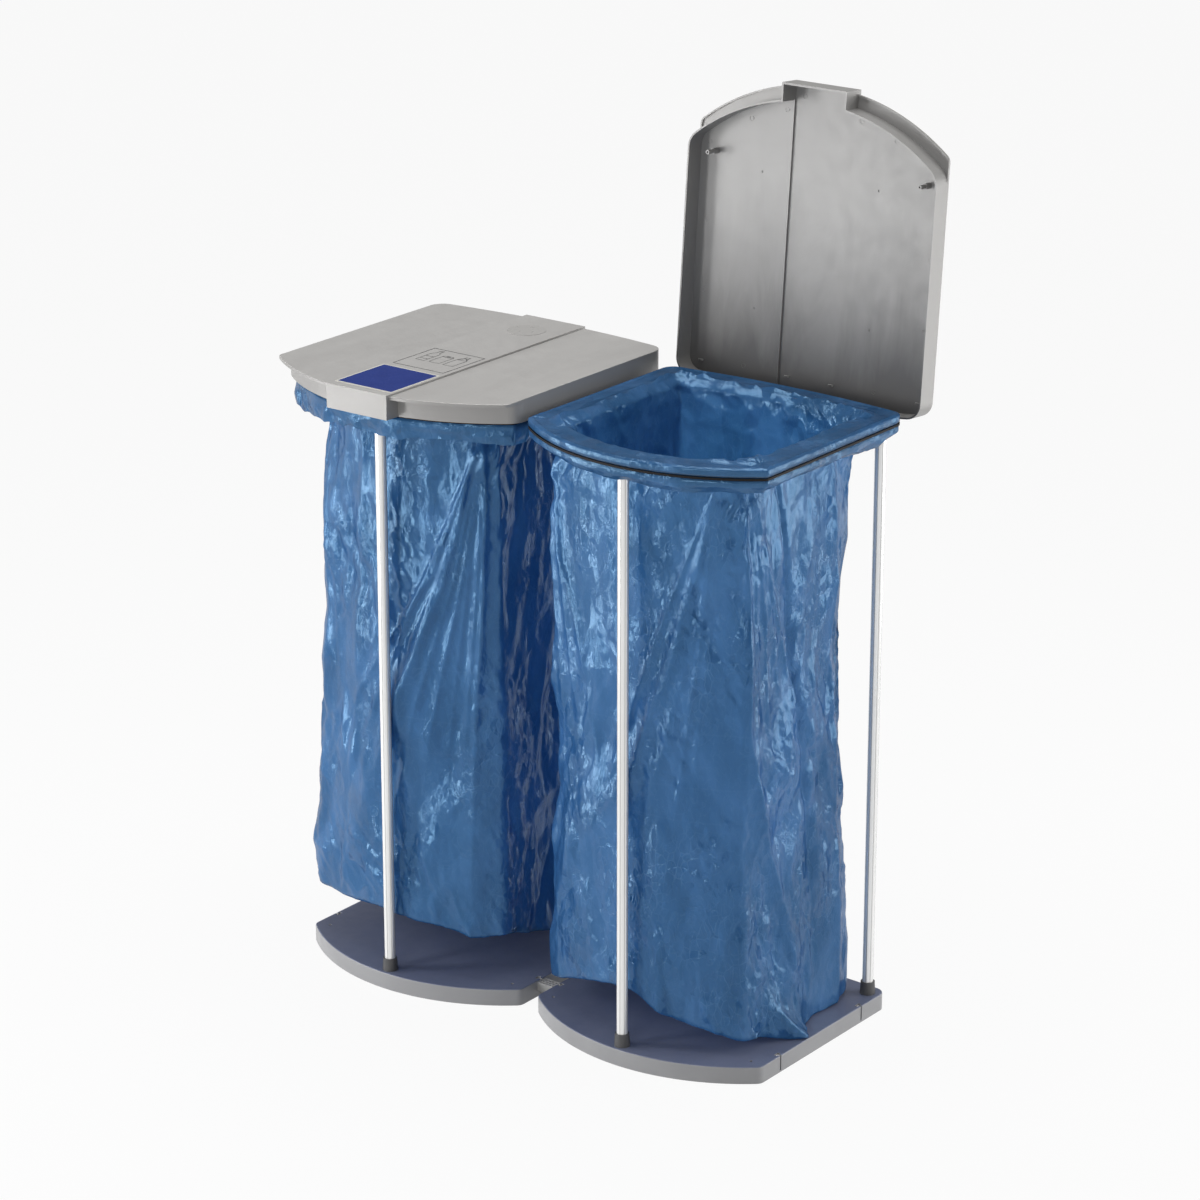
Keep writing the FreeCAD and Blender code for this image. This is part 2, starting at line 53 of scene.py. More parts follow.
# ---------------------------------------------------------------- node helpers
class Tree:
    """A material's node tree, with short calls for the nodes that are used often."""

    def __init__(self, name):
        self.mat = bpy.data.materials.new(name)
        self.mat.use_nodes = True
        self.nodes = self.mat.node_tree.nodes
        self.links = self.mat.node_tree.links
        self.bsdf = self.nodes["Principled BSDF"]
        place = self.nodes.new("ShaderNodeTexCoord")
        self.coords, self.facing = place.outputs["Object"], place.outputs["Normal"]

    def put(self, socket, value):
        if isinstance(value, bpy.types.NodeSocket):
            self.links.new(value, socket)
        else:
            socket.default_value = value

    def stretch(self, scale, turn=(0, 0, 0), move=(0, 0, 0)):
        node = self.nodes.new("ShaderNodeMapping")
        self.links.new(self.coords, node.inputs["Vector"])
        node.inputs["Scale"].default_value = scale
        node.inputs["Rotation"].default_value = turn
        node.inputs["Location"].default_value = move
        return node.outputs["Vector"]

    def noise(self, vector, scale, detail=4.0, rough=0.55, warp=0.0, kind="FBM"):
        node = self.nodes.new("ShaderNodeTexNoise")
        node.noise_type = kind
        self.links.new(vector, node.inputs["Vector"])
        node.inputs["Scale"].default_value = scale
        node.inputs["Detail"].default_value = detail
        node.inputs["Roughness"].default_value = rough
        node.inputs["Distortion"].default_value = warp
        return node.outputs["Fac"]

    def cells(self, vector, scale, feature="DISTANCE_TO_EDGE"):
        node = self.nodes.new("ShaderNodeTexVoronoi")
        node.feature = feature
        self.links.new(vector, node.inputs["Vector"])
        node.inputs["Scale"].default_value = scale
        return node.outputs["Distance"]

    def ramp(self, value, stops):
        node = self.nodes.new("ShaderNodeValToRGB")
        self.links.new(value, node.inputs["Fac"])
        ramp = node.color_ramp
        while len(ramp.elements) < len(stops):
            ramp.elements.new(0.5)
        for element, (place, colour) in zip(ramp.elements, stops):
            element.position = place
            element.color = colour if len(colour) == 4 else (*colour, 1)
        return node.outputs["Color"]

    def span(self, value, low, high, to_low=0.0, to_high=1.0):
        node = self.nodes.new("ShaderNodeMapRange")
        self.put(node.inputs["Value"], value)
        for name, number in zip(("From Min", "From Max", "To Min", "To Max"), (low, high, to_low, to_high)):
            node.inputs[name].default_value = number
        return node.outputs["Result"]

    def math(self, kind, a, b):
        node = self.nodes.new("ShaderNodeMath")
        node.operation = kind
        self.put(node.inputs[0], a)
        self.put(node.inputs[1], b)
        return node.outputs[0]

    def absolute(self, value):
        return self.math("ABSOLUTE", value, 0)

    def mix(self, share, a, b):
        node = self.nodes.new("ShaderNodeMix")
        node.data_type = "RGBA"
        self.put(node.inputs["Factor"], share)
        self.put(node.inputs["A"], a if isinstance(a, bpy.types.NodeSocket) else (*a, 1))
        self.put(node.inputs["B"], b if isinstance(b, bpy.types.NodeSocket) else (*b, 1))
        return node.outputs["Result"]

    def axis(self, vector, name):
        node = self.nodes.new("ShaderNodeSeparateXYZ")
        self.links.new(vector, node.inputs[0])
        return node.outputs[name]

    def bump(self, height, distance, strength=1.0, under=None):
        node = self.nodes.new("ShaderNodeBump")
        self.put(node.inputs["Height"], height)
        node.inputs["Distance"].default_value = distance
        node.inputs["Strength"].default_value = strength
        if under is not None:
            self.links.new(under, node.inputs["Normal"])
        return node.outputs["Normal"]

    def flakes(self, vector, scale, much, under):
        """Each small facet of crushed film tilts its own way, so that its edges catch the light sharply."""
        cell = self.nodes.new("ShaderNodeTexVoronoi")
        self.links.new(vector, cell.inputs["Vector"])
        cell.inputs["Scale"].default_value = scale
        steps = [self.nodes.new("ShaderNodeVectorMath") for _ in range(4)]
        for step, kind in zip(steps, ("SUBTRACT", "SCALE", "ADD", "NORMALIZE")):
            step.operation = kind
        self.links.new(cell.outputs["Color"], steps[0].inputs[0])
        steps[0].inputs[1].default_value = (0.5, 0.5, 0.5)
        self.links.new(steps[0].outputs[0], steps[1].inputs[0])
        self.put(steps[1].inputs["Scale"], much)
        self.links.new(under, steps[2].inputs[0])
        self.links.new(steps[1].outputs[0], steps[2].inputs[1])
        self.links.new(steps[2].outputs[0], steps[3].inputs[0])
        return steps[3].outputs[0]

    def warped(self, vector, scale, much):
        """The same place, moved a little by soft noise."""
        node = self.nodes.new("ShaderNodeTexNoise")
        self.links.new(vector, node.inputs["Vector"])
        node.inputs["Scale"].default_value = scale
        add = self.nodes.new("ShaderNodeVectorMath")
        add.operation = "MULTIPLY_ADD"
        self.links.new(node.outputs["Color"], add.inputs[0])
        add.inputs[1].default_value = (much, much, much)
        self.links.new(vector, add.inputs[2])
        return add.outputs[0]

    def finish(self, colour, rough, normal=None, **fixed):
        """Fill in the shader; the fixed values go straight onto its sockets."""
        self.put(self.bsdf.inputs["Base Color"], colour)
        self.put(self.bsdf.inputs["Roughness"], rough)
        if normal is not None:
            self.links.new(normal, self.bsdf.inputs["Normal"])
        for name, value in fixed.items():
            self.bsdf.inputs[name.replace("_", " ")].default_value = value
        return self.mat


# ---------------------------------------------------------------- materials
def moulded(name, dark, light, rough=0.42, grain=0.00004, painted_lit_sides=None):
    """Satin moulded plastic: soft cloudy flow marks and a fine spark-eroded grain; where a side colour is given,
    faces that stand up take that paler colour while the top keeps the darker one: painted light and shade.
    """
    t = Tree(name)
    cloud = t.noise(t.stretch((1, 0.45, 1)), 9, 5, 0.6, 0.6)
    speck = t.noise(t.coords, 900, 2, 0.5)
    colour = t.mix(t.span(cloud, 0.3, 0.7), dark, light)
    colour = t.mix(t.span(speck, 0.35, 0.75, 0.0, 0.22), colour, tuple(min(1, c * 1.35) for c in light))
    if painted_lit_sides is not None:
        # Painted light and shade: faces that stand up get the paler side colour, the top the darker one.
        upright_painted_shading = t.span(t.absolute(t.axis(t.facing, "Z")), 0.25, 0.8, 1.0, 0.0)
        colour = t.mix(upright_painted_shading, colour, t.mix(t.span(cloud, 0.3, 0.7), painted_lit_sides, tuple(c * 1.15 for c in painted_lit_sides)))
    roughness = t.span(t.noise(t.coords, 60, 3), 0.3, 0.7, rough - 0.05, rough + 0.07)
    grainy = t.bump(t.noise(t.coords, 1400, 2, 0.6), grain, 0.6)
    return t.finish(colour, roughness, grainy, IOR=1.48)


def lid_material(side):
    """Silver-grey plastic with metal flakes; faces across the plate get painted shade, and the hollow underside is
    darker, partly its own colour and partly painted shade that deepens towards the hinge.

    The left lid lies shut and the right one stands open, so each has its own axes in the frame.
    """
    t = Tree("lid_silver_" + side)
    flow = t.noise(t.stretch((1.6, 0.35, 1.6)), 7, 6, 0.6, 1.2)
    flake = t.cells(t.coords, 1500, "F1")
    colour = t.ramp(t.span(flow, 0.25, 0.75), [(0.0, (0.425, 0.416, 0.404)), (0.5, (0.455, 0.446, 0.434)),
                                               (1.0, (0.485, 0.476, 0.463))])
    colour = t.mix(t.span(flake, 0.15, 0.55, 0.22, 0.0), colour, (0.64, 0.63, 0.615))
    inside, along, hinge, front = {"left": ("Z", "Y", 0.17, -0.24), "right": ("Y", "Z", 0.965, 1.36)}[side]
    # Painted shade: the underside runs from darkest at the hinge to lighter at its front edge, along a wobbly line;
    # its overall darker tone is partly the moulding's own colour.
    painted_shade_wobble = t.noise(t.stretch((2.4, 0.6, 0.6)), 6, 5, 0.6, 0.8)
    place = t.math("ADD", t.axis(t.coords, along), t.span(painted_shade_wobble, 0.25, 0.75, -0.045, 0.045))
    underside_with_painted_shade = t.ramp(t.span(place, hinge, front), [(0.0, (0.110, 0.108, 0.107)), (0.3, (0.225, 0.222, 0.219)),
                                                (0.65, (0.305, 0.301, 0.296)), (1.0, (0.310, 0.305, 0.300))])
    # Painted shade: faces that stand across the lid's plate, such as its skirt, are written darker than the plate.
    upright_painted_shading = t.span(t.absolute(t.axis(t.facing, inside)), 0.3, 0.8, 1.0, 0.0)
    colour = t.mix(upright_painted_shading, colour, (0.300, 0.294, 0.287))
    colour = t.mix(t.span(t.axis(t.facing, inside), -0.85, -0.35, 1.0, 0.0), colour, underside_with_painted_shade)
    roughness = t.span(t.noise(t.coords, 45, 4), 0.3, 0.7, 0.34, 0.44)
    fine = t.bump(t.noise(t.coords, 1100, 3, 0.6), 0.00005, 0.5)
    return t.finish(colour, roughness, fine, Metallic=0.22, IOR=1.5)


def pole_material():
    """Bright drawn aluminium tube: eight shallow fluting grooves, drawn only as darker lines of painted shade, and
    very fine lines along it.
    """
    t = Tree("pole_bright")
    lines = t.noise(t.stretch((1, 1, 0.012)), 1300, 3, 0.6)
    soft = t.noise(t.stretch((1, 1, 0.3)), 14, 3)
    colour = t.mix(t.span(soft, 0.3, 0.7), (0.84, 0.84, 0.83), (0.92, 0.92, 0.91))
    # Painted shade: eight darker lines round the tube where the fluting grooves lie, placed by the facing direction.
    turn = t.math("ARCTAN2", t.axis(t.facing, "Y"), t.axis(t.facing, "X"))
    wave = t.math("SINE", t.math("MULTIPLY", t.math("ADD", turn, math.radians(32)), 4), 0)
    painted_flute_shade = t.span(t.absolute(wave), 0.10, 0.42, 1.0, 0.0)
    colour = t.mix(t.math("MULTIPLY", painted_flute_shade, 0.75), colour, (0.30, 0.30, 0.30))
    roughness = t.span(lines, 0.3, 0.7, 0.12, 0.20)
    return t.finish(colour, roughness, t.bump(lines, 0.00002, 0.25), Metallic=0.45)


def rubber_material():
    t = Tree("band_black")
    weave = t.noise(t.stretch((1, 1, 4)), 600, 3, 0.6)
    colour = t.mix(t.span(weave, 0.3, 0.7), (0.004, 0.004, 0.005), (0.014, 0.014, 0.016))
    return t.finish(colour, 0.65, t.bump(weave, 0.0001, 0.5), Specular_IOR_Level=0.2)


def steel_material():
    t = Tree("pin_turned")
    turned = t.noise(t.stretch((8, 1, 1)), 300, 3)
    return t.finish(t.mix(turned, (0.42, 0.42, 0.43), (0.62, 0.62, 0.63)), t.span(turned, 0.3, 0.7, 0.25, 0.4),
                    t.bump(turned, 0.00003, 0.4), Metallic=1.0)


def print_material(name, colour, light, rough, shine=0.5):
    """Printed film: almost even ink with a fine orange-peel."""
    t = Tree(name)
    ink = t.noise(t.coords, 35, 5, 0.6)
    peel = t.noise(t.coords, 420, 2, 0.5)
    shade = t.mix(t.span(ink, 0.3, 0.7), colour, light)
    return t.finish(shade, t.span(peel, 0.3, 0.7, rough - 0.04, rough + 0.05), t.bump(peel, 0.00006, 0.4),
                    Specular_IOR_Level=shine)


def film_material():
    """Thin tinted film: glossy, a little see-through, finely crinkled in patches, with flattened factory folds; paler
    crest, crush and fold lines are partly whitened film and partly painted highlight, and small glints are painted.
    """
    t = Tree("film_blue")
    tall = t.stretch((1.0, 1.0, 0.55), (0.23, 0.17, 0.3))
    slanted = t.stretch((1.0, 1.0, 0.7), (0.35, -0.3, 0.5))
    soft = t.noise(tall, 11, 4, 0.5, 0.8)
    patch = t.span(t.noise(tall, 8.5, 3, 0.5, 0.6), 0.44, 0.60)
    wavy = t.noise(slanted, 30, 3, 0.5, 2.2)
    crest = t.span(t.absolute(t.math("SUBTRACT", wavy, 0.5)), 0.0, 0.03, 1.0, 0.0)
    ripples = t.noise(slanted, 46, 5, 0.6, 1.6)
    crushed = t.noise(slanted, 24, 5, 0.62, 0.7, "RIDGED_MULTIFRACTAL")
    fine = t.noise(tall, 78, 3, 0.6, 0.8, "RIDGED_MULTIFRACTAL")
    height = t.axis(t.coords, "Z")
    wander = t.span(t.noise(t.coords, 5, 3), 0.3, 0.7, -0.004, 0.004)
    pressed = 0.0
    for level in (0.397, 0.447, 0.531):
        away = t.absolute(t.math("SUBTRACT", t.math("ADD", height, wander), level))
        pressed = t.math("ADD", t.span(away, 0.0, 0.0022, 1.0, 0.0), pressed)
    colour = t.ramp(t.span(soft, 0.28, 0.72), [(0.0, (0.029, 0.112, 0.262)), (0.5, (0.046, 0.154, 0.350)),
                                               (1.0, (0.078, 0.216, 0.468))])
    # Paler crest and fold lines: partly stress-whitened film, partly painted highlight.
    crease_whitening_and_highlight = (0.12, 0.28, 0.52)
    colour = t.mix(t.math("MULTIPLY", crest, 0.16), colour, crease_whitening_and_highlight)
    colour = t.mix(t.math("MULTIPLY", pressed, 0.10), colour, crease_whitening_and_highlight)
    normal = t.bump(t.math("MULTIPLY", crest, patch), 0.0006, 0.5)
    normal = t.bump(ripples, 0.0020, 0.5, normal)
    normal = t.bump(crushed, 0.0022, 0.6, normal)
    normal = t.bump(t.math("MULTIPLY", fine, patch), 0.0011, 0.6, normal)
    loose = t.span(t.noise(slanted, 7, 3, 0.5, 0.5), 0.38, 0.60, 0.08, 0.30)
    drawn = t.warped(t.stretch((1.0, 1.0, 0.42), (0.42, -0.35, 0.5)), 16, 0.035)
    small = t.warped(tall, 45, 0.014)
    normal = t.flakes(drawn, 30, loose, normal)
    normal = t.flakes(small, 84, t.math("MULTIPLY", patch, 0.34), normal)
    # Painted glints: the edges of small crinkle cells in some patches are made a paler blue.
    here = t.span(t.noise(tall, 20, 3, 0.5, 0.5), 0.46, 0.60)
    painted_glints = t.math("MULTIPLY", t.span(t.cells(small, 84), 0.0, 0.07, 1.0, 0.0), t.math("MULTIPLY", patch, here))
    colour = t.mix(t.math("MULTIPLY", painted_glints, 0.22), colour, (0.20, 0.42, 0.72))
    # Paler ridges of the crushed pattern: partly whitened film, partly painted highlight.
    colour = t.mix(t.span(crushed, 0.9, 1.6, 0.0, 0.30), colour, (0.16, 0.36, 0.64))
    roughness = t.span(t.noise(tall, 30, 4), 0.3, 0.7, 0.08, 0.16)
    film = t.finish(colour, roughness, normal, IOR=1.6, Specular_Tint=(0.38, 0.70, 1.0, 1.0),
                    Specular_IOR_Level=1.0)
    # Part of the light goes through the film.
    through = t.nodes.new("ShaderNodeBsdfTranslucent")
    t.links.new(t.mix(0.5, colour, (0.070, 0.26, 0.58)), through.inputs["Color"])
    t.links.new(normal, through.inputs["Normal"])
    blend = t.nodes.new("ShaderNodeMixShader")
    blend.inputs["Fac"].default_value = 0.42
    t.links.new(t.bsdf.outputs[0], blend.inputs[1])
    t.links.new(through.outputs[0], blend.inputs[2])
    t.links.new(blend.outputs[0], t.nodes["Material Output"].inputs["Surface"])
    return film


materials = {
    # Painted light and shade: the base's top is written dark blue-grey, painted shade with a painted reflection of
    # the blue sacks, and its standing side faces a paler grey.
    "base_plastic": moulded("base_grey_painted_top_shade", (0.112, 0.130, 0.200), (0.142, 0.160, 0.232), 0.36,
                            painted_lit_sides=(0.290, 0.291, 0.300)),
    "connector_plastic": moulded("connector_grey", (0.30, 0.30, 0.30), (0.38, 0.38, 0.375), 0.42),
    "collar_plastic": moulded("collar_dark", (0.060, 0.060, 0.062), (0.090, 0.090, 0.093), 0.45),
    "pole_aluminium": pole_material(),
    "ring_plastic": moulded("ring_grey", (0.10, 0.105, 0.12), (0.14, 0.145, 0.16), 0.45),
    "sack_film": film_material(),
    "elastic_black": rubber_material(),
    "pin_steel": steel_material(),
    "left_lid_plastic": lid_material("left"),
    "right_lid_plastic": lid_material("right"),
    "label_border": print_material("border_pale", (0.60, 0.59, 0.52), (0.68, 0.67, 0.60), 0.35),
    "label_blue": print_material("field_blue", (0.016, 0.034, 0.180), (0.021, 0.042, 0.210), 0.36, 0.1),
    "print_grey": print_material("line_dark", (0.035, 0.035, 0.037), (0.06, 0.06, 0.062), 0.45),
    "disc_plastic": moulded("disc_grey", (0.345, 0.338, 0.327), (0.385, 0.377, 0.365), 0.30),
}
for part in frame["record"]["subparts"]:
    node = nodes[part["node"]]
    node.data.materials.clear()
    slot = part["material_slot"]
    name = part["node"].split("_")[0] + "_" + slot if slot == "lid_plastic" else slot
    node.data.materials.append(materials[name])


# ---------------------------------------------------------------- outlines of the ring and its opening
# Points on each stretch of an outline, and rows of the hanging film.
front_count, side_count, rear_count, corner_count = 132, 100, 120, 12
around = front_count + 2 * side_count + rear_count + 4 * corner_count
body_rows = 262
# Half width, front, front radius, rear, rear radius, front corner and rear corner.
ring_sizes = (212.0, 253.0, 328.0, 186.5, 1500.0, 8.0, 20.0)
open_sizes = (170.0, 211.0, 286.0, 144.5, 1458.0, 15.0, 18.0)
# Levels: the ring's underside, the lowest film, and the base's upper side.
ring_foot, sack_low, base_top = 926.0, 60.0, 27.0
# The poles' axes, and how near to them the film's surface may come.
poles = ((0.0, -228.0), (-189.5, 146.5), (189.5, 146.5))
pole_room = 9.8


def outline(half, front, front_radius, rear, rear_radius, front_corner, rear_corner, by=0.0):
    """Points once round, from the front's left end, with the same count for every outline."""
    half, front, rear = half + by, front + by, rear + by
    front_radius, rear_radius = front_radius + by, rear_radius + by
    front_corner, rear_corner = max(0.5, front_corner + by), max(0.5, rear_corner + by)
    front_mid, rear_mid = front_radius - front, rear - rear_radius
    fy = front_mid - math.sqrt((front_radius - front_corner) ** 2 - (half - front_corner) ** 2)
    ry = rear_mid + math.sqrt((rear_radius - rear_corner) ** 2 - (half - rear_corner) ** 2)
    a = math.asin((half - front_corner) / (front_radius - front_corner))
    b = math.asin((half - rear_corner) / (rear_radius - rear_corner))

    def arc(x, y, radius, start, end, count):
        turn = np.linspace(start, end, count, endpoint=False)
        return np.stack([x + radius * np.cos(turn), y + radius * np.sin(turn)], 1)

    down = -math.pi / 2
    side = np.linspace(fy, ry, side_count, endpoint=False)
    return np.concatenate([
        arc(0, front_mid, front_radius, down - a, down + a, front_count),
        arc(half - front_corner, fy, front_corner, down + a, 0, corner_count),
        np.stack([np.full(side_count, half), side], 1),
        arc(half - rear_corner, ry, rear_corner, 0, math.pi / 2 - b, corner_count),
        arc(0, rear_mid, rear_radius, math.pi / 2 - b, math.pi / 2 + b, rear_count),
        arc(rear_corner - half, ry, rear_corner, math.pi / 2 + b, math.pi, corner_count),
        np.stack([np.full(side_count, -half), np.linspace(ry, fy, side_count, endpoint=False)], 1),
        arc(front_corner - half, fy, front_corner, math.pi, math.pi * 1.5 - a, corner_count)])


def hash01(i, j, seed):
    """Repeatable random numbers from whole numbers."""
    n = (i * 374761393 + j * 668265263 + seed * 974634777) & 0x7FFFFFFF
    n = ((n ^ (n >> 13)) * 1274126177) & 0x7FFFFFFF
    return ((n ^ (n >> 16)) & 0xFFFFF) / 0xFFFFF


def corners(x, y, seed, wrap):
    """Place within a cell, and the random heights at the cell's four corners; x repeats after wrap cells."""
    xi, yi = np.floor(x).astype(np.int64), np.floor(y).astype(np.int64)
    x0, x1 = xi % wrap, (xi + 1) % wrap
    heights = [2 * hash01(i, j, seed) - 1 for j in (yi, yi + 1) for i in (x0, x1)]
    return x - xi, y - yi, heights, hash01(x0, yi, seed + 9)


def value_noise(x, y, seed, wrap):
    """Smooth noise between -1 and 1."""
    u, v, (a, b, c, d), _ = corners(x, y, seed, wrap)
    u, v = u * u * (3 - 2 * u), v * v * (3 - 2 * v)
    return (a * (1 - u) + b * u) * (1 - v) + (c * (1 - u) + d * u) * v


def facets(x, y, seed, wrap):
    """Flat triangles between random heights: stiff film bends only along straight creases."""
    x = x + 0.42 * value_noise(x, y, seed + 40, wrap)
    y = y + 0.42 * value_noise(x, y + 7.3, seed + 41, wrap)
    u, v, (a, b, c, d), pick = corners(x, y, seed, wrap)
    one = np.where(u + v < 1, a + u * (b - a) + v * (c - a), d + (1 - u) * (c - d) + (1 - v) * (b - d))
    two = np.where(u > v, a + u * (b - a) + v * (d - b), a + v * (c - a) + u * (d - c))
    return np.where(pick > 0.5, one, two)


def pleats(x, y, seed, wrap, octaves=3):
    """Long soft folds with sharp crests, between -1 and 1."""
    x = x + 0.4 * value_noise(x, y, seed + 5, wrap)
    total, size = 0.0, 1.0
    for octave in range(octaves):
        lean = (0.42, -0.55, 0.8)[octave % 3]
        total = total + size * (1 - 2 * np.abs(value_noise(x + lean * y, y, seed + 17 * octave, wrap)))
        x, y, size, wrap = x * 2, y * 2, size / 2, wrap * 2
    return total / (2 - 2 * size)


# ---------------------------------------------------------------- film
# How high the film's lower edge hangs at places round the opening; it sags towards the rear.
foot_heights = {
    "left": (((-172, -140), 108), ((-100, -193), 114), ((-20, -211), 123), ((77, -200), 115), ((137, -176), 105),
             ((170, -150), 110), ((170, -110), 96), ((170, -21), 76), ((170, 120), 62), ((0, 144), 60),
             ((-170, 120), 70), ((-170, 0), 90)),
    "right": (((-172, -145), 66), ((-120, -185), 92), ((-47, -207), 114), ((3, -211), 118), ((38, -208), 97),
              ((60, -204), 84), ((119, -185), 71), ((161, -160), 60), ((170, -110), 47), ((170, -50), 32),
              ((170, 40), 32), ((170, 120), 42), ((0, 144), 46), ((-170, 120), 52), ((-170, 0), 56)),
}
# How much each sack widens to its left and to its right on the way down, and its front corners' radius.
flares = {"left": (0.29, 0.01), "right": (0.14, 0.02)}
front_corners = {"left": 24.0, "right": 30.0}


class Film:
    """One sack with its mouth turned over the ring, as a grid of rows round the ring."""

    def __init__(self, side):
        self.side = side
        self.opening = outline(*open_sizes)
        step = np.linalg.norm(np.roll(self.opening, -1, 0) - self.opening, axis=1)
        self.length = step.sum()
        self.s = np.concatenate([[0], np.cumsum(step)[:-1]])
        self.share = self.s / self.length
        tangent = np.roll(self.opening, -1, 0) - np.roll(self.opening, 1, 0)
        tangent /= np.linalg.norm(tangent, axis=1)[:, None]
        self.out = np.stack([tangent[:, 1], -tangent[:, 0]], 1)
        self.seed = {"left": 11, "right": 47}[side]
        self.rows = []

    def at(self, x, y):
        """How far round the outline the place nearest to a point is."""
        return self.s[np.argmin(np.hypot(self.opening[:, 0] - x, self.opening[:, 1] - y))]

    def along(self, table):
        """A soft curve round the outline through the values given at some of its places."""
        places = [self.at(*place) for place, _ in table]
        values = [value for _, value in table]
        curve = np.interp(self.s, places, values, period=self.length)
        for _ in range(40):
            curve = (np.roll(curve, 1) + 2 * curve + np.roll(curve, -1)) / 4
        return curve

    def add(self, points, z):
        self.rows.append(np.column_stack([points, np.broadcast_to(z, (around,))]))

    def ripple(self, cells, level, seed):
        return value_noise(self.share * cells, np.full(around, level), self.seed + seed, cells)

    # The mouth: from the free edge outside, over the flanges and the rim, to the inside of the opening.
    def mouth(self):
        self.cuff()
        for by, z in ((-0.55, 926.5), (-0.5, 929.5), (-0.5, 932.9), (-2.1, 934.2), (-2.1, 939.8), (0.85, 941.2),
                      (1.0, 945.0), (0.95, 948.6), (0.55, 950.3), (-0.4, 951.1)):
            self.add(outline(*ring_sizes, by=by), z)
        outer, inner = outline(*ring_sizes, by=-1.4), outline(*open_sizes, by=3.0)
        for t in np.linspace(0, 1, 24):
            points = outer * (1 - t) + inner * t
            self.add(points, 951.2 + self.rim(points, t))
        for by, z in ((1.9, 951.0), (0.9, 950.2), (0.0, 948.6), (-0.8, 946.4), (-1.4, 944.0), (-1.8, 941.4),
                      (-2.2, 938.6), (-2.5, 935.8), (-2.8, 932.8), (-3.0, 929.8), (-3.1, 927.4)):
            self.add(outline(*open_sizes, by=by) - self.out * self.gathers(z)[:, None], z)

    def cuff(self):
        """The free edge: crumpled, tucked in under the ring, and longest at the left sack's left end."""
        ring = outline(*ring_sizes)
        drop = 10 + 4 * self.ripple(17, 0.3, 1) + 3 * self.ripple(47, 0.7, 2)
        tuck, amount = 9.0, 3.0
        if self.side == "left":
            drop = 24 + 8 * self.ripple(9, 0.3, 1) + 5 * self.ripple(31, 0.7, 2) + 2.5 * self.ripple(83, 0.2, 12)
            drop = drop + 14 * np.clip((-ring[:, 0] - 40) / 150, 0, 1)
            tuck, amount = 5.0, 5.0
        drop = np.clip(drop, 4, 42)
        for t in np.linspace(1, 0.03, 15):
            crush = facets(self.share * 46, np.full(around, 1.3 + 0.9 * t), self.seed + 3, 46)
            fine = facets(self.share * 130, np.full(around, 4.0 + 2.2 * t), self.seed + 4, 130)
            lean = -0.6 - tuck * t ** 1.5 + min(1.0, 2.2 * t) * (amount * crush + 1.5 * fine)
            self.add(ring + self.out * np.minimum(lean, 3.2)[:, None], ring_foot - drop * t + 1.5 * t * fine)

    def spare(self):
        """How much spare film is gathered at the opening's edge: most at the rear and in the corners."""
        x, y = self.opening.T
        amount = 0.25 + 0.75 * np.clip((y - 70) / 60, 0, 1) + 0.5 * np.clip((-x - 120) / 45, 0, 1)
        amount += 0.25 * np.clip((x - 120) / 45, 0, 1)
        for corner_x, corner_y, size in ((-160, -150, 0.9), (155, -160, 0.9), (-160, 130, 0.7)):
            amount += size * np.exp(-((x - corner_x) ** 2 + (y - corner_y) ** 2) / 38 ** 2)
        return np.minimum(amount, 1.35)

    def gathers(self, z):
        """How far the spare film stands off the inner wall, in slanting folds that start at the rim's edge."""
        grow = np.clip((952 - z) / 10, 0.1, 1) * np.clip((z - 740) / 150, 0, 1)
        slant = self.share * 28 + (951 - z) / 60
        fold = 0.75 + 1.0 * pleats(slant, np.broadcast_to((951 - z) / 80, slant.shape), self.seed + 30, 28, 2)
        crush = facets(self.share * 74, np.broadcast_to((951 - z) / 18, slant.shape), self.seed + 31, 74)
        return grow * (0.3 + self.spare()) * (6.4 * np.clip(fold, 0, 2) + 1.9 * crush) + 0.4

    def rim(self, points, t):
        """Height over the rim's flat: a raised outer lip, gathers at the pegs, puckers at the inner edge."""
        lift = np.full(around, 1.5 * math.exp(-((t - 0.09) / 0.05) ** 2))
        for side in (-1, 1):
            dx, dy = points[:, 0] - side * 189, points[:, 1] + 158
            away = np.hypot(dx, dy)
            spokes = np.cos(np.arctan2(dy, dx) * 9 + 1.3 * side + 0.05 * away)
            lift += 0.9 * np.exp(-(away / 21) ** 2) * (1 + spokes) - 2.2 * np.exp(-(away / 6.5) ** 2)
        slant = self.share * 38 + 0.6 * t
        crush = facets(slant * 2, np.full(around, 3 + 3.4 * t), self.seed + 60, 76)
        fold = pleats(slant, np.full(around, 5 + 0.8 * t), self.seed + 61, 38, 2)
        reach = np.clip((t - 0.60 + 0.20 * self.ripple(19, 0.5, 62)) / 0.40, 0, 1)
        lift += self.spare() * reach ** 1.3 * np.clip(2.6 + 4.6 * fold + 2.6 * crush, 0, 9.0)
        lift += 0.22 * facets(self.share * 30, np.full(around, 9 + 1.6 * t), self.seed + 63, 30)
        return np.maximum(lift, -0.3)

    # The hanging sack.
    def body(self):
        t = np.linspace(0.003, 1, body_rows)[:, None]
        z = ring_foot - (ring_foot - self.along(foot_heights[self.side])) * t
        depth = np.clip((ring_foot - z) / (ring_foot - sack_low), 0, 1)
        corner = front_corners[self.side]
        near = outline(*open_sizes, by=-3.2)
        wide = outline(*open_sizes[:5], corner, 36.0, by=-1.0)
        left, right = flares[self.side]
        front = np.clip((95 - wide[:, 1]) / 110, 0.25, 1)
        wide[:, 0] *= 1 + front * np.where(wide[:, 0] < 0, left, right) * np.abs(wide[:, 0]) / 170
        share = (depth ** 0.9)[:, :, None]
        points = near * (1 - share) + wide * share + self.out * self.folds(z, depth)[:, :, None]
        points = self.past_poles(points)
        self.rows.extend(np.dstack([points, z]))

